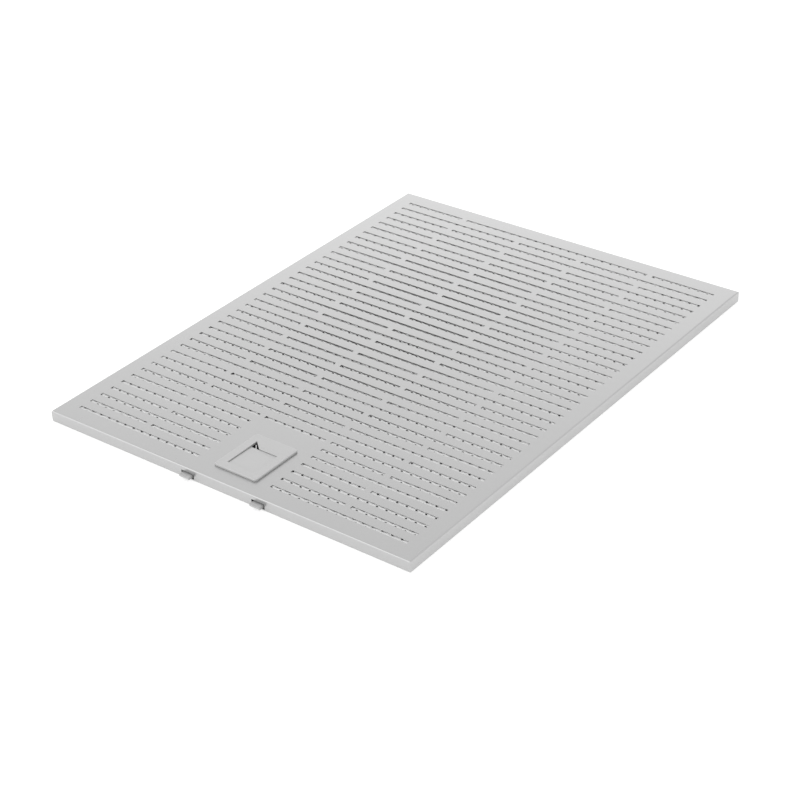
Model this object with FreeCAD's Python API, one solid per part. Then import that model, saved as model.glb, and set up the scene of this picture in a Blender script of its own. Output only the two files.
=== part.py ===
import FreeCAD, Part
import math
import os

from FreeCAD import Vector

# Cooker hood grease filter: a slotted aluminium tray over a stack of crimped mesh, with a sprung latch.
# Millimetres. The filter lies on its back: +Z is the face that is seen in the hood, -Y the latch edge.
# The origin is under the middle of the panel, on the surface that it lies on.

# Panel: one sheet folded into a shallow tray, with its walls hemmed in over the back
panel_width = 300.0
panel_length = 400.0
panel_depth = 8.5
sheet_thickness = 0.5
fold_radius = 1.0
hem_width = 10.0
corner_seam = 0.25
back_sheet_clearance = 0.3

# Slots, in rows across the panel, with the bridges of every second row offset
slot_pitch = 10.0
slot_width = 2.6
slot_cells = 5
slot_bridge = 4.8
slot_side_margin = 12.75
slot_end_margin = 13.7
plain_zone_length = 70.0

# Mesh stack
mesh_layers = 6
mesh_thickness = 0.25
mesh_crimp_pitch = 20.0
mesh_edge_gap = 1.2
mesh_layer_gap = 0.04
mesh_latch_gap = 1.2

# Handle bezel on the face, round the finger opening
handle_offset = 2.1
bezel_setback = 12.2
bezel_width = 35.2
bezel_length = 42.6
bezel_rise = 1.6
bezel_corner_radius = 2.0
bezel_edge_radius = 0.6
finger_width = 22.4
finger_length = 23.0
finger_front_rim = 6.3
rear_rim_gap = 0.12
rear_rim_lead = 4.5
rear_rim_lead_drop = 0.4
corner_window_width = 6.8
corner_window_length = 6.0
collar_wall = 1.0
collar_depth = 0.9
collar_toe = 1.4
collar_toe_width = 14.0
collar_toe_gap = 0.1
cutout_clearance = 0.2
post_radius = 2.0
post_inset = 2.9
pilot_radius = 0.9

# Latch slide: finger pad, cross bar and two tongues
latch_travel = 5.0
tongue_spacing = 59.0
tongue_width = 8.2
tongue_thickness = 2.0
tongue_reach = 4.2
tongue_lead_in = 1.0
tongue_corner_radius = 1.0
tongue_window_width = 10.6
tongue_window_height = 3.9
pad_clearance = 0.35
pad_wall = 1.4
pad_drop = 0.7
pad_fall = 0.4
pad_edge = 0.15
pad_rear_setback = 0.2
apron_thickness = 1.0
apron_overlap = 3.5
apron_corner = 6.4
leaf_thickness = 1.0
leaf_depth = 1.5
leaf_lean = 2.9
leaf_inset = 0.6
bar_setback = 24.0
bar_depth = 8.0
bar_height = 4.0
bar_wall = 1.6
bar_rib_spacing = 11.0
running_gap = 0.15

# Latch base under the slide, screwed to the bezel's posts
base_thickness = 1.2
base_front_gap = 0.3
rail_thickness = 2.0
rail_height = 3.0
rail_clearance = 0.3
boss_radius = 2.6
boss_height = 0.8
stop_depth = 2.0
stop_clearance = 0.3
spacer_width = 3.0
spacer_setback = 12.0
spacer_fit = 0.05
seat_thickness = 2.5
screw_clearance = 0.1
screw_radius = 0.85
screw_head_radius = 1.8
screw_head_depth = 0.8
screw_length = 5.6

# Return springs
spring_offset = 20.0
spring_length = 20.0
spring_radius = 1.75
spring_wire = 0.5
spring_turns = 6
spring_steps_per_turn = 12
spring_pin_clearance = 0.3
spring_pin_length = 2.5
spring_seat_gap = 0.05

# Rear lugs, which reach as far out as the tongues
lug_spacing = 160.0
lug_width = 14.0
lug_base_width = 24.0
lug_base_thickness = 1.4
lug_window_clearance = 0.3
lug_fit = 0.05

# How far a cutter runs past the face that it leaves
cut_past = 1.0

# Levels and edges that several pieces share
front_y = -panel_length / 2
rear_y = panel_length / 2
back_sheet_z = sheet_thickness
inside_floor = back_sheet_z + sheet_thickness
inside_roof = panel_depth - sheet_thickness
base_top = inside_floor + base_thickness
slide_floor = base_top + running_gap
tongue_top = slide_floor + tongue_thickness
bezel_front = front_y + bezel_setback
bezel_rear = bezel_front + bezel_length
finger_front = bezel_front + finger_front_rim
finger_rear = finger_front + finger_length
bezel_top = panel_depth + bezel_rise
pad_front = finger_front + pad_clearance
pad_rear = finger_rear - pad_rear_setback
pad_top = bezel_top - pad_drop
apron_rear = finger_rear + apron_overlap
apron_top = pad_top - pad_fall
apron_floor = apron_top - apron_thickness
pad_slope = pad_fall / (apron_rear - pad_front)
rear_rim_floor = pad_top - pad_slope * (finger_rear - latch_travel - pad_front) + rear_rim_gap
apron_way_rear = apron_rear + latch_travel + cutout_clearance
bar_front = front_y + bar_setback
bar_rear = bar_front + bar_depth
spring_seat_y = bar_rear + spring_length
base_front = front_y + sheet_thickness + base_front_gap
spring_seat_rear = spring_seat_y + seat_thickness
base_half_width = (tongue_spacing + tongue_width) / 2 + rail_clearance + rail_thickness
tongue_xs = [handle_offset + side * tongue_spacing / 2 for side in (-1, 1)]
spring_xs = [handle_offset + side * spring_offset for side in (-1, 1)]
spring_z = slide_floor + bar_height / 2
lug_xs = [side * lug_spacing / 2 for side in (-1, 1)]
post_y = bezel_rear - post_inset
base_rear = max(spring_seat_rear, post_y + boss_radius)
post_xs = [handle_offset + side * (bezel_width / 2 - post_inset) for side in (-1, 1)]


def block(x0, x1, y0, y1, z0, z1):
    """A box between two corners."""
    return Part.makeBox(x1 - x0, y1 - y0, z1 - z0, Vector(x0, y0, z0))


def handle_block(half_width, y0, y1, z0, z1):
    """A box centred on the handle's own middle line."""
    return block(handle_offset - half_width, handle_offset + half_width, y0, y1, z0, z1)


def post(x, y, radius, z0, z1):
    """An upright cylinder."""
    return Part.makeCylinder(radius, z1 - z0, Vector(x, y, z0))


def extrude_profile(points, direction):
    """A closed outline of points, pulled along a direction into a solid."""
    return Part.Face(Part.makePolygon(points + points[:1])).extrude(direction)


def edges_at_height(solid, z):
    """The edges of a solid that lie wholly at one height."""
    return [e for e in solid.Edges if all(abs(v.Z - z) < 1e-6 for v in e.Vertexes)]


def folded_box(width, length, z0, z1, radius):
    """A box whose top and bottom edges are rounded as folds, and whose corners stay sharp."""
    solid = block(-width / 2, width / 2, -length / 2, length / 2, z0, z1)
    return solid.makeFillet(radius, edges_at_height(solid, z0) + edges_at_height(solid, z1))


def slot_rows():
    """The middle of each slot row, from the rear edge to the latch edge."""
    field = panel_length - 2 * slot_end_margin - slot_width
    gaps = math.floor(field / slot_pitch + 1e-6)
    return [(gaps / 2 - row) * slot_pitch for row in range(gaps + 1)]


def slot_spans(row, y):
    """Start and end of each slot in a row: a run of cells, joined across the bridges that the row leaves out.

    Beside the latch the middle cell is left plain.
    """
    cell = (panel_width - 2 * slot_side_margin - (slot_cells - 1) * slot_bridge) / slot_cells
    step = cell + slot_bridge
    start = -panel_width / 2 + slot_side_margin
    end = slot_cells - 1
    middle = slot_cells // 2
    beside_latch = y < front_y + plain_zone_length
    if row % 2 == 0:
        inner = [(1, middle - 1), (middle + 1, end - 1)] if beside_latch else [(1, end - 1)]
        runs = [(0, 0)] + inner + [(end, end)]
    else:
        inner = [] if beside_latch else [(middle, middle)]
        runs = [(0, middle - 1)] + inner + [(middle + 1, end)]
    return [(start + first * step, start + last * step + cell) for first, last in runs]


def slot_cutters(z0, z1):
    """Every slot of the panel as a box between two heights."""
    cutters = []
    for row, y in enumerate(slot_rows()):
        for x0, x1 in slot_spans(row, y):
            cutters.append(block(x0, x1, y - slot_width / 2, y + slot_width / 2, z0, z1))
    return cutters


def corner_seams():
    """Slits at 45 degrees where the folded walls and hems of two sides meet."""
    reach = 2 * hem_width
    slits = []
    for quarter in range(4):
        slit = block(-reach, reach, -corner_seam / 2, corner_seam / 2, -cut_past, panel_depth - fold_radius)
        x = panel_width / 2 * (1 if quarter in (0, 3) else -1)
        y = panel_length / 2 * (1 if quarter in (0, 1) else -1)
        slit.rotate(Vector(0, 0, 0), Vector(0, 0, 1), 45 + 90 * quarter)
        slit.translate(Vector(x, y, 0))
        slits.append(slit)
    return slits


def front_tray():
    """The slotted face with its four folded walls and hems, and the cut-outs for the latch and the lugs."""
    outer = folded_box(panel_width, panel_length, 0, panel_depth, fold_radius)
    inner = folded_box(
        panel_width - 2 * sheet_thickness,
        panel_length - 2 * sheet_thickness,
        sheet_thickness,
        inside_roof,
        fold_radius - sheet_thickness,
    )
    hem_x = panel_width / 2 - hem_width
    hem_y = panel_length / 2 - hem_width
    cutters = [inner, block(-hem_x, hem_x, -hem_y, hem_y, -cut_past, inside_floor)]
    cutters += slot_cutters(inside_roof - cut_past, panel_depth + cut_past)
    cutters += corner_seams()
    window_z = (slide_floor + tongue_top) / 2
    for x in tongue_xs:
        half = tongue_window_width / 2
        low = max(fold_radius, window_z - tongue_window_height / 2)
        high = low + tongue_window_height
        cutters.append(block(x - half, x + half, front_y - cut_past, front_y + fold_radius, low, high))
    for x in lug_xs:
        half = lug_width / 2 + lug_window_clearance
        low = slide_floor - lug_window_clearance
        high = tongue_top + lug_window_clearance
        cutters.append(block(x - half, x + half, rear_y - fold_radius, rear_y + cut_past, low, high))
    hole = finger_width / 2 + collar_wall + cutout_clearance
    hole_front = finger_front - collar_wall - cutout_clearance
    low, high = inside_roof - cut_past, panel_depth + cut_past
    cutters.append(handle_block(hole, hole_front, finger_rear + cutout_clearance, low, high))
    cutters.append(handle_block(finger_width / 2, finger_rear, apron_way_rear, low, high))
    for x in post_xs:
        cutters.append(post(x, post_y, post_radius + cutout_clearance, low, high))
    return outer.cut(cutters)


def back_sheet():
    """The flat slotted sheet that closes the back, held under the hems."""
    half_width = panel_width / 2 - fold_radius - back_sheet_clearance
    half_length = panel_length / 2 - fold_radius - back_sheet_clearance
    sheet = block(-half_width, half_width, -half_length, half_length, back_sheet_z, inside_floor)
    return sheet.cut(slot_cutters(0, inside_floor + cut_past))


def mesh_layer(index):
    """One crimped layer: a zigzag sheet, its crimps along X or Y in turn, cut back round the latch.

    A layer that lies above the slide and the springs only has to clear what the bezel covers.
    """
    height = (inside_roof - inside_floor) / mesh_layers
    floor = inside_floor + index * height + mesh_layer_gap / 2
    rise = height - mesh_layer_gap - mesh_thickness
    half_width = panel_width / 2 - sheet_thickness - mesh_edge_gap
    front = front_y + sheet_thickness + mesh_edge_gap
    rear = rear_y - sheet_thickness - lug_base_thickness - mesh_edge_gap
    along_y = index % 2 == 0
    start, end = (front, rear) if along_y else (-half_width, half_width)
    folds = 2 * math.floor((end - start) / mesh_crimp_pitch)
    steps = [start + (end - start) * i / folds for i in range(folds + 1)]

    def place(step, z):
        return Vector(-half_width, step, z) if along_y else Vector(step, front, z)

    low = [place(step, floor + rise * (i % 2)) for i, step in enumerate(steps)]
    high = [point + Vector(0, 0, mesh_thickness) for point in reversed(low)]
    pull = Vector(2 * half_width, 0, 0) if along_y else Vector(0, rear - front, 0)
    layer = extrude_profile(low + high, pull)
    above_slide = floor > slide_floor + bar_height + running_gap
    half_notch = (bezel_width / 2 if above_slide else base_half_width) + mesh_latch_gap
    notch_rear = max(base_rear, apron_rear + latch_travel) + mesh_latch_gap
    notch = handle_block(half_notch, front_y, notch_rear, 0, panel_depth)
    return layer.cut(notch)


def handle_bezel():
    """The raised frame round the finger opening: collar in the cut-out, toe under the sheet, two posts.

    The pad's tail runs back under its rear rim, which slopes down to the opening. A three-cornered window
    in the rim shows the leaf at the tail's open corner.
    """
    frame = handle_block(bezel_width / 2, bezel_front, bezel_rear, panel_depth, bezel_top)
    upright = [e for e in frame.Edges if abs(e.Vertexes[0].Z - e.Vertexes[-1].Z) > bezel_rise / 2]
    frame = frame.makeFillet(bezel_corner_radius, upright)
    frame = frame.makeFillet(bezel_edge_radius, edges_at_height(frame, bezel_top))
    half = finger_width / 2
    collar_floor = inside_roof - collar_depth
    collar_front = finger_front - collar_wall
    collar = handle_block(half + collar_wall, collar_front, finger_rear, collar_floor, panel_depth)
    toe_top = inside_roof - collar_toe_gap
    toe = handle_block(collar_toe_width / 2, collar_front - collar_toe, collar_front, collar_floor, toe_top)
    posts = [post(x, post_y, post_radius, base_top + boss_height, panel_depth) for x in post_xs]
    opening = handle_block(half, finger_front, finger_rear, collar_floor - cut_past, bezel_top + cut_past)
    way_front = finger_rear - cut_past
    apron_way = handle_block(half, way_front, apron_way_rear, panel_depth - cut_past, rear_rim_floor)
    window_x = handle_offset - half
    window = extrude_profile(
        [
            Vector(window_x, way_front, panel_depth),
            Vector(window_x + corner_window_width, way_front, panel_depth),
            Vector(window_x + corner_window_width, finger_rear, panel_depth),
            Vector(window_x, finger_rear + corner_window_length, panel_depth),
        ],
        Vector(0, 0, bezel_rise + cut_past),
    )
    lead = extrude_profile(
        [
            Vector(window_x, finger_rear, bezel_top - rear_rim_lead_drop),
            Vector(window_x, finger_rear + rear_rim_lead, bezel_top),
            Vector(window_x, finger_rear + rear_rim_lead, bezel_top + cut_past),
            Vector(window_x, finger_rear, bezel_top + cut_past),
        ],
        Vector(finger_width, 0, 0),
    )
    pilot_top = inside_floor + screw_length + 2 * screw_clearance
    pilots = [post(x, post_y, pilot_radius, base_top, pilot_top) for x in post_xs]
    return frame.fuse([collar, toe] + posts).cut([opening, apron_way, lead, window] + pilots).removeSplitter()


def tongue(x):
    """One arm of the slide, from the cross bar out through the front wall.

    Its tip has rounded corners and a lead-in on the under side.
    """
    tip = front_y - tongue_reach
    x0, x1 = x - tongue_width / 2, x + tongue_width / 2
    outline = [
        Vector(x0, bar_rear, slide_floor),
        Vector(x0, tip + tongue_lead_in, slide_floor),
        Vector(x0, tip, slide_floor + tongue_lead_in),
        Vector(x0, tip, tongue_top),
        Vector(x0, bar_rear, tongue_top),
    ]
    side_view = extrude_profile(outline, Vector(tongue_width, 0, 0))
    plan = block(x0, x1, tip, bar_rear, slide_floor, tongue_top)
    tip_edges = [e for e in plan.Edges if all(v.Y < tip + 1e-6 for v in e.Vertexes)]
    tip_corners = [e for e in tip_edges if abs(e.Vertexes[0].Z - e.Vertexes[-1].Z) > 1e-6]
    return side_view.common(plan.makeFillet(tongue_corner_radius, tip_corners))


def finger_pad(half_width):
    """The pad in the bezel's opening, hollow below, with a thin tail that runs back under the rear rim.

    Its top falls a little towards the tail. One corner of the tail is open, and a slanted leaf stands there.
    """
    left = handle_offset - half_width
    side = [
        Vector(left, pad_front, slide_floor),
        Vector(left, pad_front, pad_top),
        Vector(left, apron_rear, apron_top),
        Vector(left, apron_rear, apron_floor),
        Vector(left, pad_rear, apron_floor),
        Vector(left, pad_rear, slide_floor),
    ]
    pad = extrude_profile(side, Vector(2 * half_width, 0, 0))
    crown = max(pad.Faces, key=lambda face: face.CenterOfMass.z)
    rims = [e for e in crown.Edges if min(v.Y for v in e.Vertexes) < pad_rear]
    pad = pad.makeChamfer(pad_edge, rims)
    hollow = handle_block(
        half_width - pad_wall,
        pad_front + pad_wall,
        pad_rear - pad_wall,
        slide_floor - cut_past,
        apron_top - pad_wall,
    )
    corner = block(
        left - cut_past,
        left + apron_corner,
        pad_rear,
        apron_rear + cut_past,
        apron_floor - cut_past,
        pad_top,
    )
    leaf_front = left + leaf_inset + leaf_lean
    leaf_rear = left + leaf_inset
    leaf_floor = apron_top - leaf_depth
    leaf = extrude_profile(
        [
            Vector(leaf_front, pad_rear, leaf_floor),
            Vector(leaf_front + leaf_thickness, pad_rear, leaf_floor),
            Vector(leaf_rear + leaf_thickness, apron_rear, leaf_floor),
            Vector(leaf_rear, apron_rear, leaf_floor),
        ],
        Vector(0, 0, leaf_depth),
    )
    return pad.cut([hollow, corner]).fuse(leaf)


def bar_pockets(inner, outer, z0, z1):
    """Hollows in the top of the cross bar, with ribs left between them, on both sides of the pad."""
    count = max(1, math.floor((outer - inner + bar_wall) / bar_rib_spacing))
    step = (outer - inner + bar_wall) / count
    y0, y1 = bar_front + bar_wall, bar_rear - bar_wall
    pockets = []
    for i in range(count):
        x0 = inner + i * step
        x1 = x0 + step - bar_wall
        pockets.append(block(handle_offset + x0, handle_offset + x1, y0, y1, z0, z1))
        pockets.append(block(handle_offset - x1, handle_offset - x0, y0, y1, z0, z1))
    return pockets


def latch_slide():
    """The moving piece: finger pad in the bezel's opening, ribbed cross bar, two tongues, two spring pins."""
    half = finger_width / 2 - pad_clearance
    bar_half = (tongue_spacing + tongue_width) / 2
    bar_top = slide_floor + bar_height
    bar = handle_block(bar_half, bar_front, bar_rear, slide_floor, bar_top)
    pockets = bar_pockets(half + bar_wall, bar_half - tongue_width, slide_floor + bar_wall, bar_top)
    bar = bar.cut(pockets)
    pin_radius = spring_radius - spring_wire / 2 - spring_pin_clearance
    pins = [
        Part.makeCylinder(pin_radius, spring_pin_length, Vector(x, bar_rear, spring_z), Vector(0, 1, 0))
        for x in spring_xs
    ]
    pieces = [bar] + [tongue(x) for x in tongue_xs] + pins
    return finger_pad(half).fuse(pieces).removeSplitter()


def latch_base():
    """The plate that the slide runs on: side rails, stops, spring seats, spacers and two screw bosses."""
    plate = handle_block(base_half_width, base_front, base_rear, inside_floor, base_top)
    rail_top = base_top + rail_height
    pieces = []
    for side in (-1, 1):
        inner = handle_offset + side * (base_half_width - rail_thickness)
        outer = handle_offset + side * base_half_width
        pieces.append(block(min(inner, outer), max(inner, outer), base_front, bar_rear, base_top, rail_top))
    stop_rear = bar_front - stop_clearance
    seat_half = spring_radius + spring_wire
    seat_top = slide_floor + bar_height
    pin_radius = spring_radius - spring_wire / 2 - spring_pin_clearance
    for x in spring_xs:
        x0, x1 = x - seat_half, x + seat_half
        pieces.append(block(x0, x1, stop_rear - stop_depth, stop_rear, base_top, rail_top))
        pieces.append(block(x0, x1, spring_seat_y, spring_seat_rear, base_top, seat_top))
        start = Vector(x, spring_seat_y, spring_z)
        pieces.append(Part.makeCylinder(pin_radius, spring_pin_length, start, Vector(0, -1, 0)))
    boss_top = base_top + boss_height
    spacer_y = front_y + spacer_setback
    holes = []
    for x in post_xs:
        x0, x1 = x - spacer_width / 2, x + spacer_width / 2
        spacer_top = inside_roof - spacer_fit
        pieces.append(block(x0, x1, spacer_y - spacer_width, spacer_y, base_top, spacer_top))
        pieces.append(post(x, post_y, boss_radius, base_top, boss_top))
        holes.append(post(x, post_y, screw_radius + screw_clearance, inside_floor, boss_top + cut_past))
        sink_top = inside_floor + screw_head_depth + screw_clearance
        holes.append(post(x, post_y, screw_head_radius + screw_clearance, inside_floor - cut_past, sink_top))
    return plate.fuse(pieces).cut(holes).removeSplitter()


def base_screws():
    """Two flat-headed screws from under the base into the bezel's posts."""
    screws = []
    for x in post_xs:
        head = post(x, post_y, screw_head_radius, inside_floor, inside_floor + screw_head_depth)
        shank = post(x, post_y, screw_radius, inside_floor, inside_floor + screw_length)
        screws.append(head.fuse(shank).removeSplitter())
    return Part.makeCompound(screws)


def return_spring(x):
    """A compression spring between the cross bar and its seat on the base, lofted through turned sections."""
    length = spring_length - 2 * spring_seat_gap - spring_wire
    half = spring_wire / 2
    square = [(-half, -half), (half, -half), (half, half), (-half, half), (-half, -half)]
    steps = round(spring_turns * spring_steps_per_turn)
    sections = []
    for step in range(steps + 1):
        section = Part.makePolygon([Vector(spring_radius + dr, dy, 0) for dr, dy in square])
        section.rotate(Vector(0, 0, 0), Vector(0, 1, 0), 360 * step / spring_steps_per_turn)
        section.translate(Vector(x, bar_rear + spring_seat_gap + half + length * step / steps, spring_z))
        sections.append(section)
    return Part.makeLoft(sections, True, True)


def rear_lug(x):
    """A lug behind the rear wall: its foot stands inside the fold, its tongue goes out through the window."""
    inner = rear_y - sheet_thickness - lug_fit
    foot = block(
        x - lug_base_width / 2,
        x + lug_base_width / 2,
        inner - lug_base_thickness,
        inner,
        inside_floor,
        inside_roof - lug_fit,
    )
    outer_edges = [e for e in foot.Edges if all(v.Y > inner - 1e-6 for v in e.Vertexes)]
    level_edges = [e for e in outer_edges if abs(e.Vertexes[0].Z - e.Vertexes[-1].Z) < 1e-6]
    foot = foot.makeChamfer(fold_radius - sheet_thickness, level_edges)
    x0, x1 = x - lug_width / 2, x + lug_width / 2
    reach = block(x0, x1, inner - lug_base_thickness, rear_y + tongue_reach, slide_floor, tongue_top)
    return foot.fuse(reach).removeSplitter()


os.makedirs("parts", exist_ok=True)
nodes = {
    "front_tray": front_tray(),
    "back_sheet": back_sheet(),
    "handle_bezel": handle_bezel(),
    "latch_slide": latch_slide(),
    "latch_base": latch_base(),
    "base_screws": base_screws(),
}
for index in range(mesh_layers):
    nodes[f"mesh_layer_{index + 1}"] = mesh_layer(index)
for side, spring_x, lug_x in zip(("left", "right"), spring_xs, lug_xs):
    nodes[f"return_spring_{side}"] = return_spring(spring_x)
    nodes[f"rear_lug_{side}"] = rear_lug(lug_x)
for name, shape in nodes.items():
    shape.exportStep(f"parts/{name}.step")
    print(name, "solids", len(shape.Solids), "valid", shape.isValid(), "volume", round(shape.Volume, 2))
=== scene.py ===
import math

import bmesh
import bpy
from mathutils import Matrix, Vector


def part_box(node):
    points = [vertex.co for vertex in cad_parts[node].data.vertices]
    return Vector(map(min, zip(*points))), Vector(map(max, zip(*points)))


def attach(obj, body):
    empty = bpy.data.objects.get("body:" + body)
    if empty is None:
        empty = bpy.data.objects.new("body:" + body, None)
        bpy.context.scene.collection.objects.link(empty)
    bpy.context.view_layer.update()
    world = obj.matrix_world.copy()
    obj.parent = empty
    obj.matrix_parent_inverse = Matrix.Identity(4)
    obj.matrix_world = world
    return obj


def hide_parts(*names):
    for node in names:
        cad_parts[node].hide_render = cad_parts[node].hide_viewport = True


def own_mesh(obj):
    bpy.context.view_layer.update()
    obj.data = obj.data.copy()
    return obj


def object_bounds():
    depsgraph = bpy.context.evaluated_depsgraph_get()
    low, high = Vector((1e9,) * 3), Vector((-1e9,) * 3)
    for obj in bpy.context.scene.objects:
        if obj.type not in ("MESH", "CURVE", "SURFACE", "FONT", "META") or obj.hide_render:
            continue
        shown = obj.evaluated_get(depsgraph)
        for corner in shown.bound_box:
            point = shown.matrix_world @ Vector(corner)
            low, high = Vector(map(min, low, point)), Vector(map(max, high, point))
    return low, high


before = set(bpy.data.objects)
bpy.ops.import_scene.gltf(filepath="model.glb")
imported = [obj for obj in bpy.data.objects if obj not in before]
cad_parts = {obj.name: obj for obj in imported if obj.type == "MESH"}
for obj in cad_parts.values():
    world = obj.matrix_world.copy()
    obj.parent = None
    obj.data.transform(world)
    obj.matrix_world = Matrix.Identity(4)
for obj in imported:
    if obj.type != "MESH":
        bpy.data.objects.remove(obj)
cad_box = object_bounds()

# Slotted face tray: one sheet of aluminium, punched with staggered rows of slots, then folded down
# on four sides and hemmed in over the back. The folds meet in mitred seams at the corners.
tray_low, tray_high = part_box("front_tray")
bezel_low, bezel_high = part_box("handle_bezel")
sheet_thickness = 0.0005
fold_radius = 0.001
hem_width = 0.010
fold_steps = 6
corner_seam = 0.00012
cut_edge_round = 0.00018
cut_edge_segments = 2
sharp_edge = math.radians(40.0)
same_place = 1e-6
cut_tolerance = 1e-7
slot_pitch = 0.010
slot_width = 0.0026
slot_row_count = 38
slot_cells = 5
slot_bridge = 0.0048
slot_side_margin = 0.01275
plain_zone_length = 0.070

slot_cell = (tray_high.x - tray_low.x - 2 * slot_side_margin - (slot_cells - 1) * slot_bridge) / slot_cells
slot_cell_starts = [tray_low.x + slot_side_margin + i * (slot_cell + slot_bridge) for i in range(slot_cells)]
slot_rows = [((slot_row_count - 1) / 2 - row) * slot_pitch for row in range(slot_row_count)]


def slot_spans(row):
    """Start and end of each slot in a row, with the middle cell left plain beside the latch."""
    end = slot_cells - 1
    middle = slot_cells // 2
    beside_latch = slot_rows[row] < tray_low.y + plain_zone_length
    if row % 2 == 0:
        inner = [(1, middle - 1), (middle + 1, end - 1)] if beside_latch else [(1, end - 1)]
        runs = [(0, 0)] + inner + [(end, end)]
    else:
        inner = [] if beside_latch else [(middle, middle)]
        runs = [(0, middle - 1)] + inner + [(middle + 1, end)]
    return [(slot_cell_starts[first], slot_cell_starts[last] + slot_cell) for first, last in runs]


def along_axis(axis, length=1.0):
    """A vector of some length along one axis."""
    return Vector([length if i == axis else 0.0 for i in range(3)])


def cut_across(bm, axis, values, among=None):
    """Cuts the faces along planes square to an axis, at each of the values."""
    normal = along_axis(axis)
    for value in values:
        faces = [f for f in bm.faces if among is None or among(f.calc_center_median())]
        edges = {e for f in faces for e in f.edges}
        verts = {v for f in faces for v in f.verts}
        bmesh.ops.bisect_plane(
            bm,
            geom=faces + list(edges) + list(verts),
            dist=cut_tolerance,
            plane_co=normal * value,
            plane_no=normal,
        )


def punch(bm, inside):
    """Takes out every face whose middle the test calls inside."""
    doomed = [f for f in bm.faces if inside(f.calc_center_median())]
    bmesh.ops.delete(bm, geom=doomed, context="FACES")


def in_slot(point):
    """Whether a point of the sheet lies in a slot."""
    row = round((slot_rows[0] - point.y) / slot_pitch)
    if not 0 <= row < slot_row_count or abs(point.y - slot_rows[row]) > slot_width / 2:
        return False
    return any(start < point.x < end for start, end in slot_spans(row))


def slotted_sheet(half_width, half_length, z):
    """A flat sheet at one height with every slot punched out of it."""
    bm = bmesh.new()
    bmesh.ops.create_grid(bm, x_segments=1, y_segments=1, size=1.0)
    bmesh.ops.scale(bm, vec=(half_width, half_length, 1.0), verts=bm.verts)
    bmesh.ops.translate(bm, vec=(0, 0, z), verts=bm.verts)
    cut_across(bm, 0, slot_cell_starts + [start + slot_cell for start in slot_cell_starts])
    cut_across(bm, 1, [y + side * slot_width / 2 for y in slot_rows for side in (-1, 1)])
    punch(bm, in_slot)
    return bm


def fold_side(bm, axis, side, flats, z_top, z_bottom):
    """Folds one edge of the sheet down into a wall and in again into a hem, by turning its edge line.

    The ends of the folded side are cut to a mitre, so that two sides meet in a seam at the corner.
    """
    flat, end = flats[axis], flats[1 - axis]
    out = along_axis(axis, side)
    turn_axis = out.cross(Vector((0, 0, -1)))
    line = [
        e for e in bm.edges
        if e.is_boundary and all(abs(v.co[axis] - side * flat) < same_place for v in e.verts)
    ]
    sheet_verts = set(bm.verts)
    for z, way in ((z_top - fold_radius, Vector((0, 0, z_bottom - z_top + 2 * fold_radius))),
                   (z_bottom + fold_radius, -out * (hem_width - fold_radius))):
        bend = out * flat + Vector((0, 0, z))
        turned = bmesh.ops.spin(bm, geom=line, cent=bend, axis=turn_axis, angle=math.pi / 2, steps=fold_steps)
        line = [g for g in turned["geom_last"] if isinstance(g, bmesh.types.BMEdge)]
        drawn = bmesh.ops.extrude_edge_only(bm, edges=line)["geom"]
        drawn_verts = {g for g in drawn if isinstance(g, bmesh.types.BMVert)}
        bmesh.ops.translate(bm, vec=way, verts=list(drawn_verts))
        line = [g for g in drawn if isinstance(g, bmesh.types.BMEdge) and drawn_verts.issuperset(g.verts)]
    for vert in set(bm.verts) - sheet_verts:
        if abs(abs(vert.co[1 - axis]) - end) < same_place:
            seam = corner_seam if vert.co.z < z_top - fold_radius else 0.0
            vert.co[1 - axis] = math.copysign(end + side * vert.co[axis] - flat - seam, vert.co[1 - axis])


def mesh_piece(bm, name, *materials):
    """A finished bmesh as an object at the origin, smooth shaded."""
    mesh = bpy.data.meshes.new(name)
    bm.to_mesh(mesh)
    bm.free()
    mesh.shade_smooth()
    for material in materials:
        mesh.materials.append(material)
    piece = bpy.data.objects.new(name, mesh)
    bpy.context.scene.collection.objects.link(piece)
    return piece


def give_thickness(piece, thickness, even):
    """Turns a surface into sheet of one thickness, grown inwards from its outer face."""
    solid = piece.modifiers.new("sheet", "SOLIDIFY")
    solid.thickness = thickness
    solid.offset = -1.0
    solid.use_even_offset = even


def round_edges(piece, width, segments):
    """Rounds every sharp edge a little, and keeps the flats flat in the shading."""
    edge = piece.modifiers.new("edges", "BEVEL")
    edge.width = width
    edge.segments = segments
    edge.profile = 0.5
    edge.limit_method = "ANGLE"
    edge.angle_limit = sharp_edge
    edge.use_clamp_overlap = True
    flats = piece.modifiers.new("flats", "WEIGHTED_NORMAL")
    flats.keep_sharp = False
    flats.weight = 100


grain_roughness = 0.6
cloud_scale = 22.0
cloud_detail = 3.0
cloud_share = 0.5
usual_grain = (0.3, 0.7)
relief_strength = 0.3


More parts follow.
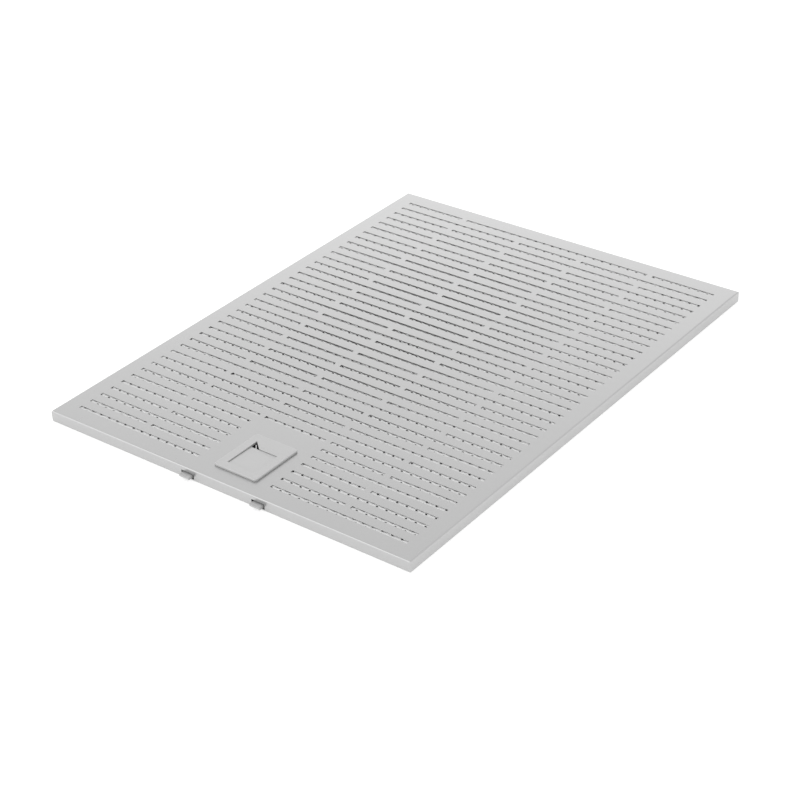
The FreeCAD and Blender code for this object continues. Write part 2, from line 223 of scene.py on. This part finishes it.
def grain_group(name, scale, detail):
    """A shader group for the fine texture of a surface: streaked or round grain, and broad cloudiness."""
    group = bpy.data.node_groups.new(name, "ShaderNodeTree")
    group.interface.new_socket("Stretch", in_out="INPUT", socket_type="NodeSocketVector")
    group.interface.new_socket("Grain", in_out="OUTPUT", socket_type="NodeSocketFloat")
    group.interface.new_socket("Cloud", in_out="OUTPUT", socket_type="NodeSocketFloat")
    nodes, links = group.nodes, group.links
    inputs = nodes.new("NodeGroupInput")
    outputs = nodes.new("NodeGroupOutput")
    place = nodes.new("ShaderNodeTexCoord")
    stretch = nodes.new("ShaderNodeVectorMath")
    stretch.operation = "MULTIPLY"
    grain = nodes.new("ShaderNodeTexNoise")
    grain.inputs["Scale"].default_value = scale
    grain.inputs["Detail"].default_value = detail
    grain.inputs["Roughness"].default_value = grain_roughness
    cloud = nodes.new("ShaderNodeTexNoise")
    cloud.inputs["Scale"].default_value = cloud_scale
    cloud.inputs["Detail"].default_value = cloud_detail
    links.new(place.outputs["Object"], stretch.inputs[0])
    links.new(inputs.outputs["Stretch"], stretch.inputs[1])
    links.new(stretch.outputs["Vector"], grain.inputs["Vector"])
    links.new(place.outputs["Object"], cloud.inputs["Vector"])
    links.new(grain.outputs["Fac"], outputs.inputs["Grain"])
    links.new(cloud.outputs["Fac"], outputs.inputs["Cloud"])
    return group


def surface(name, group, stretch, greys, roughness, metallic, relief):
    """A material whose grey, roughness and relief follow a grain group."""
    material = bpy.data.materials.new(name)
    material.use_nodes = True
    nodes, links = material.node_tree.nodes, material.node_tree.links
    shader = nodes["Principled BSDF"]
    shader.inputs["Metallic"].default_value = metallic
    texture = nodes.new("ShaderNodeGroup")
    texture.node_tree = group
    texture.inputs["Stretch"].default_value = stretch
    clouds = nodes.new("ShaderNodeMath")
    clouds.operation = "MULTIPLY"
    clouds.inputs[1].default_value = cloud_share
    both = nodes.new("ShaderNodeMath")
    both.operation = "MULTIPLY_ADD"
    both.inputs[1].default_value = 1.0 - cloud_share
    colour = nodes.new("ShaderNodeMix")
    colour.data_type = "RGBA"
    for socket, grey in zip("AB", greys):
        colour.inputs[socket].default_value = (grey, grey, grey, 1.0)
    rough = nodes.new("ShaderNodeMapRange")
    rough.inputs["From Min"].default_value = usual_grain[0]
    rough.inputs["From Max"].default_value = usual_grain[1]
    rough.inputs["To Min"].default_value = roughness[0]
    rough.inputs["To Max"].default_value = roughness[1]
    bump = nodes.new("ShaderNodeBump")
    bump.inputs["Strength"].default_value = relief_strength
    bump.inputs["Distance"].default_value = relief
    links.new(texture.outputs["Cloud"], clouds.inputs[0])
    links.new(texture.outputs["Grain"], both.inputs[0])
    links.new(clouds.outputs["Value"], both.inputs[2])
    links.new(both.outputs["Value"], colour.inputs["Factor"])
    links.new(colour.outputs["Result"], shader.inputs["Base Color"])
    links.new(both.outputs["Value"], rough.inputs["Value"])
    links.new(rough.outputs["Result"], shader.inputs["Roughness"])
    links.new(texture.outputs["Grain"], bump.inputs["Height"])
    links.new(bump.outputs["Normal"], shader.inputs["Normal"])
    return material


mill_grain = grain_group("mill_grain", scale=900.0, detail=4.0)
rolled_aluminium = surface(
    "rolled_aluminium",
    mill_grain,
    stretch=(1.0, 0.03, 1.0),
    greys=(0.482, 0.496),
    roughness=(0.27, 0.30),
    metallic=1.0,
    relief=0.000004,
)

flat_x = tray_high.x - fold_radius
flat_y = tray_high.y - fold_radius
tray_bm = slotted_sheet(flat_x, flat_y, tray_high.z)

# Under the bezel the face has a stepped cut-out for the finger pad and its apron, and a hole at each side
# for a post of the bezel. Each has a left and a right side, measured from the handle's middle line, and then
# a front and a rear.
handle_x = (bezel_low.x + bezel_high.x) / 2
handle_holes = [
    (-0.0124, 0.0124, -0.1827, -0.1583),
    (-0.0112, 0.0112, -0.1583, -0.1498),
    (-0.0169, -0.0125, -0.1503, -0.1459),
    (0.0125, 0.0169, -0.1503, -0.1459),
]


def in_plain_zone(point):
    """Whether a point of the face lies in the unslotted zone round the handle."""
    return abs(point.x) < slot_cell / 2 and point.y < tray_low.y + plain_zone_length


def in_handle_hole(point):
    """Whether a point of the face lies in one of the holes under the bezel."""
    x = point.x - handle_x
    return any(left < x < right and front < point.y < rear for left, right, front, rear in handle_holes)


cut_across(tray_bm, 0, sorted({handle_x + x for hole in handle_holes for x in hole[:2]}), in_plain_zone)
cut_across(tray_bm, 1, sorted({y for hole in handle_holes for y in hole[2:]}), in_plain_zone)
punch(tray_bm, in_handle_hole)
for fold_axis in (0, 1):
    for fold_direction in (-1, 1):
        fold_side(tray_bm, fold_axis, fold_direction, (flat_x, flat_y), tray_high.z, tray_low.z)
bmesh.ops.remove_doubles(tray_bm, verts=tray_bm.verts, dist=same_place)

# Windows in the end walls let the latch tongues and the rear lugs through. Each has half a width, a bottom
# and a top.
tongue_spacing = 0.059
tongue_window = (0.0053, 0.0014, 0.0053)
lug_window = (0.0073, 0.00205, 0.00465)
lug_xs = [sum(corner.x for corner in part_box(f"rear_lug_{side}")) / 2 for side in ("left", "right")]


def cut_window(bm, wall_y, x, half_width, z_low, z_high):
    """Cuts a rectangular window in an end wall of the tray."""
    def on_wall(point):
        return abs(point.y - wall_y) < same_place

    def in_window(point):
        return on_wall(point) and abs(point.x - x) < half_width and z_low < point.z < z_high

    cut_across(bm, 0, [x - half_width, x + half_width], on_wall)
    cut_across(bm, 2, [z_low, z_high], on_wall)
    punch(bm, in_window)


for side in (-1, 1):
    cut_window(tray_bm, tray_low.y, handle_x + side * tongue_spacing / 2, *tongue_window)
for lug_x in lug_xs:
    cut_window(tray_bm, tray_high.y, lug_x, *lug_window)
bmesh.ops.recalc_face_normals(tray_bm, faces=tray_bm.faces)
if max(tray_bm.faces, key=lambda f: f.calc_center_median().z).normal.z < 0:
    bmesh.ops.reverse_faces(tray_bm, faces=tray_bm.faces)
tray = mesh_piece(tray_bm, "slotted_face", rolled_aluminium)
give_thickness(tray, sheet_thickness, even=True)
round_edges(tray, cut_edge_round, cut_edge_segments)
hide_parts("front_tray")
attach(tray, "filter")

# Slotted back sheet: a flat aluminium sheet, punched with the same slots as the face.
# It closes the back of the tray and is held in by the hems.
back_low, back_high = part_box("back_sheet")
back_bm = slotted_sheet(back_high.x, back_high.y, back_high.z)
back = mesh_piece(back_bm, "slotted_back", rolled_aluminium)
give_thickness(back, back_high.z - back_low.z, even=True)
round_edges(back, cut_edge_round, cut_edge_segments)
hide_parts("back_sheet")
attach(back, "filter")

# Mesh stack: layers of expanded aluminium, slit and drawn into diamonds, crimped and laid crosswise, each
# a little askew. They are cut back round the latch and lie loose between the sheets. The top layer is held
# up by the rim and sags a little in the middle, and the bottom layer lies flat on the back sheet.
mesh_layer_count = 6
diamond_length = 0.0075
diamond_width = 0.0053
layer_turn = math.radians(0.63)
spare_cells = 3
strand_half_width = 0.0009
outer_strand_half_width = 0.00157
strand_tilt = 0.00022
layer_shift = (0.37, 0.644)
smallest_opening = 0.12
mesh_thickness = 0.00025
crimp_pitch = 0.020
outer_crimp_share = 0.08
sag_share = 0.47
sag_x = (-0.145, 0.095)
sag_y = (-0.140, 0.185)
latch_gap = 0.0012
latch_travel = 0.005
slide_bar_top = 0.00635
base_low, base_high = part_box("latch_base")
slide_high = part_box("latch_slide")[1]
notch_rear = max(base_high.y, slide_high.y + latch_travel) + latch_gap
bright_aluminium = surface(
    "bright_aluminium",
    mill_grain,
    stretch=(0.2, 0.2, 0.2),
    greys=(0.62, 0.72),
    roughness=(0.42, 0.56),
    metallic=1.0,
    relief=0.00002,
)


def crimp(distance, length):
    """Height of the zigzag wave, from 0 to 1, at a distance along a sheet of some length."""
    steps = 2 * math.floor(length / crimp_pitch)
    return 1.0 - abs(distance / length * steps % 2.0 - 1.0)


def sag(point):
    """How far the top layer hangs down at a point, from 0 where it is held up to 1 where it hangs lowest."""
    across = min(max((point.x - sag_x[0]) / (sag_x[1] - sag_x[0]), 0.0), 1.0)
    along = min(max((point.y - sag_y[0]) / (sag_y[1] - sag_y[0]), 0.0), 1.0)
    return math.sin(math.pi * across) * math.sin(math.pi * along)


for layer in range(mesh_layer_count):
    node = f"mesh_layer_{layer + 1}"
    low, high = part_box(node)
    size = high - low
    outer = layer in (0, mesh_layer_count - 1)
    notch_low, notch_high = (bezel_low, bezel_high) if low.z > slide_bar_top else (base_low, base_high)
    notch_left = notch_low.x - latch_gap
    notch_right = notch_high.x + latch_gap

    def beside_notch(point):
        return point.y < notch_rear + diamond_width

    def between_notch_sides(point):
        return notch_left < point.x < notch_right

    def in_notch(point):
        return between_notch_sides(point) and point.y < notch_rear

    bm = bmesh.new()
    cells = 2 * math.ceil((size.x / diamond_length + size.y / diamond_width) / 2 + spare_cells)
    bmesh.ops.create_grid(bm, x_segments=cells, y_segments=cells, size=cells / 2)
    bmesh.ops.rotate(bm, cent=(0, 0, 0), matrix=Matrix.Rotation(math.pi / 4, 3, "Z"), verts=bm.verts)
    drawn = Vector((diamond_length / math.sqrt(2), diamond_width / math.sqrt(2), 1.0))
    bmesh.ops.scale(bm, vec=drawn, verts=bm.verts)
    askew = layer_turn if layer % 2 == 0 else -layer_turn
    bmesh.ops.rotate(bm, cent=(0, 0, 0), matrix=Matrix.Rotation(askew, 3, "Z"), verts=bm.verts)
    shift_x, shift_y = [layer * share % 1.0 for share in layer_shift]
    shift = Vector((shift_x * diamond_length, shift_y * diamond_width, 0))
    bmesh.ops.translate(bm, vec=(low + high) / 2 + shift, verts=bm.verts)
    for corner, sign in ((low, -1), (high, 1)):
        for axis in (0, 1):
            bmesh.ops.bisect_plane(
                bm,
                geom=list(bm.verts) + list(bm.edges) + list(bm.faces),
                dist=same_place,
                plane_co=corner,
                plane_no=along_axis(axis, sign),
                clear_outer=True,
            )
    cut_across(bm, 0, [notch_left, notch_right], beside_notch)
    cut_across(bm, 1, [notch_rear], between_notch_sides)
    punch(bm, in_notch)
    slivers = [f for f in bm.faces if f.calc_area() < smallest_opening * diamond_length * diamond_width]
    bmesh.ops.delete(bm, geom=slivers, context="FACES")
    openings = list(bm.faces)
    strand = outer_strand_half_width if outer else strand_half_width
    bmesh.ops.inset_individual(bm, faces=openings, thickness=strand, use_even_offset=True)
    wave_axis = 1 - layer % 2
    for vert in bm.verts:
        wave = crimp(vert.co[wave_axis] - low[wave_axis], size[wave_axis])
        if layer == 0:
            wave *= outer_crimp_share
        elif outer:
            wave = 1.0 - sag_share * sag(vert.co) - outer_crimp_share * (1.0 - wave)
        vert.co.z = low.z + mesh_thickness + (size.z - mesh_thickness) * wave
    for opening in openings:
        centre = opening.calc_center_median()
        for vert in opening.verts:
            lift = strand_tilt if vert.co.y > centre.y else -strand_tilt
            vert.co.z = min(max(vert.co.z + lift, low.z + mesh_thickness), high.z)
    bmesh.ops.delete(bm, geom=openings, context="FACES")
    strands = mesh_piece(bm, f"expanded_mesh_{layer + 1}", bright_aluminium)
    strands.data.shade_flat()
    give_thickness(strands, mesh_thickness, even=False)
    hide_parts(node)
    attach(strands, "filter")

# Latch slide and handle bezel: satin silver mouldings. The bezel is clipped and screwed to the face,
# and the slide runs behind it, with its finger pad in the bezel's opening.
moulded_grain = grain_group("moulded_grain", scale=2600.0, detail=2.0)
silver_plastic = surface(
    "silver_plastic",
    moulded_grain,
    stretch=(1.0, 1.0, 1.0),
    greys=(0.54, 0.575),
    roughness=(0.36, 0.46),
    metallic=0.25,
    relief=0.00003,
)
moulding_edge_round = 0.00032
moulding_edge_segments = 3
merge_distance = 1e-7
flat_angle = math.radians(0.5)


def rounded_copy(node, name, material, segments):
    """A copy of a solid with its corners joined up and its sharp edges rounded."""
    bm = bmesh.new()
    bm.from_mesh(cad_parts[node].data)
    bmesh.ops.remove_doubles(bm, verts=bm.verts, dist=merge_distance)
    bmesh.ops.dissolve_limit(bm, angle_limit=flat_angle, verts=bm.verts, edges=bm.edges)
    piece = mesh_piece(bm, name, material)
    round_edges(piece, moulding_edge_round, segments)
    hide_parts(node)
    return piece


bezel = rounded_copy("handle_bezel", "handle_frame", silver_plastic, moulding_edge_segments)
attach(bezel, "filter")
slide = rounded_copy("latch_slide", "finger_latch", silver_plastic, moulding_edge_segments)
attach(slide, "latch")

# Latch base and rear lugs: plain mouldings inside the tray. The base carries the slide and the springs,
# and the lugs stand behind the rear wall with their tongues through it.
grey_plastic = surface(
    "grey_plastic",
    moulded_grain,
    stretch=(1.0, 1.0, 1.0),
    greys=(0.16, 0.20),
    roughness=(0.45, 0.60),
    metallic=0.0,
    relief=0.00003,
)
hidden_edge_segments = 2
base = rounded_copy("latch_base", "latch_bed", grey_plastic, hidden_edge_segments)
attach(base, "filter")
for side in ("left", "right"):
    lug = rounded_copy(f"rear_lug_{side}", f"hood_lug_{side}", silver_plastic, moulding_edge_segments)
    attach(lug, "filter")

# Return springs and screws: bright steel wire wound into open coils, and flat-headed screws from below.
# The coils sit between the slide's bar and the base. In the real latch they shorten as the slide is drawn
# back; here they are built at rest length and fixed to the filter.
bright_steel = surface(
    "bright_steel",
    mill_grain,
    stretch=(0.3, 0.3, 0.3),
    greys=(0.46, 0.56),
    roughness=(0.20, 0.32),
    metallic=1.0,
    relief=0.00002,
)
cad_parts["base_screws"].data.materials.clear()
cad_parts["base_screws"].data.materials.append(bright_steel)
wire_radius = 0.00025
wire_sides = 8
spring_turns = 6
steps_per_turn = 28
spring_steps = spring_turns * steps_per_turn
for side in ("left", "right"):
    low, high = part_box(f"return_spring_{side}")
    middle = (low + high) / 2
    coil_radius = (high.x - low.x) / 2 - wire_radius
    length = high.y - low.y - 2 * wire_radius
    bm = bmesh.new()
    bmesh.ops.create_circle(bm, cap_ends=False, segments=wire_sides, radius=wire_radius)
    bmesh.ops.translate(bm, vec=(coil_radius, 0, 0), verts=bm.verts)
    bmesh.ops.spin(
        bm,
        geom=list(bm.verts) + list(bm.edges),
        cent=(0, 0, 0),
        axis=(0, 1, 0),
        dvec=(0, length / spring_steps, 0),
        angle=2 * math.pi * spring_turns,
        steps=spring_steps,
    )
    bmesh.ops.holes_fill(bm, edges=[e for e in bm.edges if e.is_boundary], sides=wire_sides)
    bmesh.ops.translate(bm, vec=(middle.x, low.y + wire_radius, middle.z), verts=bm.verts)
    bmesh.ops.recalc_face_normals(bm, faces=bm.faces)
    coil = mesh_piece(bm, f"coil_spring_{side}", bright_steel)
    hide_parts(f"return_spring_{side}")
    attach(coil, "filter")
    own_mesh(coil)

# Floor: a sheet of pale paper that the filter lies on.
# It is seen as white, but still takes the filter's soft shadow.
floor_half_size = 4.0
floor_drop = 0.0002
paper_grey = 0.82
paper_roughness = 0.9
paper_glow = 0.52
floor_bm = bmesh.new()
bmesh.ops.create_grid(floor_bm, x_segments=1, y_segments=1, size=floor_half_size)
bmesh.ops.translate(floor_bm, vec=(0, 0, cad_box[0][2] - floor_drop), verts=floor_bm.verts)
paper = bpy.data.materials.new("white_paper")
paper.use_nodes = True
paper_shader = paper.node_tree.nodes["Principled BSDF"]
paper_shader.inputs["Base Color"].default_value = (paper_grey, paper_grey, paper_grey, 1.0)
paper_shader.inputs["Roughness"].default_value = paper_roughness
paper_shader.inputs["Specular IOR Level"].default_value = 0.0
paper_shader.inputs["Emission Color"].default_value = (1.0, 1.0, 1.0, 1.0)


def seen_rays(tree, lowest, highest):
    """The highest value for rays that show a surface, straight or mirrored, and the lowest for others."""
    ray = tree.nodes.new("ShaderNodeLightPath")
    mirrored = tree.nodes.new("ShaderNodeMath")
    mirrored.operation = "MAXIMUM"
    seen = tree.nodes.new("ShaderNodeMath")
    seen.operation = "MAXIMUM"
    level = tree.nodes.new("ShaderNodeMapRange")
    level.inputs["To Min"].default_value = lowest
    level.inputs["To Max"].default_value = highest
    tree.links.new(ray.outputs["Is Glossy Ray"], mirrored.inputs[0])
    tree.links.new(ray.outputs["Is Transmission Ray"], mirrored.inputs[1])
    tree.links.new(ray.outputs["Is Camera Ray"], seen.inputs[0])
    tree.links.new(mirrored.outputs["Value"], seen.inputs[1])
    tree.links.new(seen.outputs["Value"], level.inputs["Value"])
    return level.outputs["Result"]


glow = seen_rays(paper.node_tree, 0.0, paper_glow)
paper.node_tree.links.new(glow, paper_shader.inputs["Emission Strength"])
floor = mesh_piece(floor_bm, "floor", paper)

# Light: an even pale surround, which looks brighter than the light it gives,
# two soft lamps in front, and a broad one low behind.
surround_light = 0.8
surround_seen = 1.0
world = bpy.data.worlds.new("surround")
bpy.context.scene.world = world
world.use_nodes = True
surround = world.node_tree.nodes["Background"]
surround.inputs["Color"].default_value = (1.0, 1.0, 1.0, 1.0)
strength = seen_rays(world.node_tree, surround_light, surround_seen)
world.node_tree.links.new(strength, surround.inputs["Strength"])


def soft_lamp(name, place, aim, width, height, watts):
    """A broad lamp at a place, turned to face a point."""
    lamp = bpy.data.lights.new(name, "AREA")
    lamp.shape = "RECTANGLE"
    lamp.size = width
    lamp.size_y = height
    lamp.energy = watts
    holder = bpy.data.objects.new(name, lamp)
    holder.location = place
    holder.rotation_euler = (Vector(aim) - Vector(place)).to_track_quat("-Z", "Y").to_euler()
    bpy.context.scene.collection.objects.link(holder)


soft_lamp("left_lamp", (-0.9, -1.25, 0.85), aim=(0, 0, 0), width=1.3, height=1.3, watts=4.4)
soft_lamp("right_lamp", (0.7, -1.5, 0.8), aim=(0.1, -0.2, 0), width=1.6, height=1.4, watts=3.6)
soft_lamp("rear_wall", (-1.5, 2.6, 0.8), aim=(0, 0, 0), width=3.4, height=1.6, watts=9.2)

# Camera: looks down at the near corner of the latch end from the right, through a fairly long lens.
# Its aim is a little off the middle of the panel, and it is rolled slightly.
camera_azimuth = math.radians(38.0422)
camera_elevation = math.radians(31.6766)
camera_roll = math.radians(-2.0886)
camera_distance = 1.37388
camera_aim_right = 0.006555
camera_aim_up = 0.028607
camera_lens = 88.28
camera_sensor = 36.0
back_way = Vector((
    math.sin(camera_azimuth) * math.cos(camera_elevation),
    -math.cos(camera_azimuth) * math.cos(camera_elevation),
    math.sin(camera_elevation),
))
level_right = Vector((math.cos(camera_azimuth), math.sin(camera_azimuth), 0))
level_up = back_way.cross(level_right)
right_way = math.cos(camera_roll) * level_right + math.sin(camera_roll) * level_up
up_way = math.cos(camera_roll) * level_up - math.sin(camera_roll) * level_right
camera_data = bpy.data.cameras.new("camera")
camera_data.lens = camera_lens
camera_data.sensor_width = camera_sensor
camera_data.sensor_fit = "HORIZONTAL"
camera = bpy.data.objects.new("camera", camera_data)
camera_place = back_way * camera_distance - right_way * camera_aim_right - up_way * camera_aim_up
camera_turn = Matrix((right_way, up_way, back_way)).transposed().to_4x4()
camera.matrix_world = Matrix.Translation(camera_place) @ camera_turn
bpy.context.scene.collection.objects.link(camera)
bpy.context.scene.camera = camera

bpy.context.scene.view_settings.view_transform = "Standard"
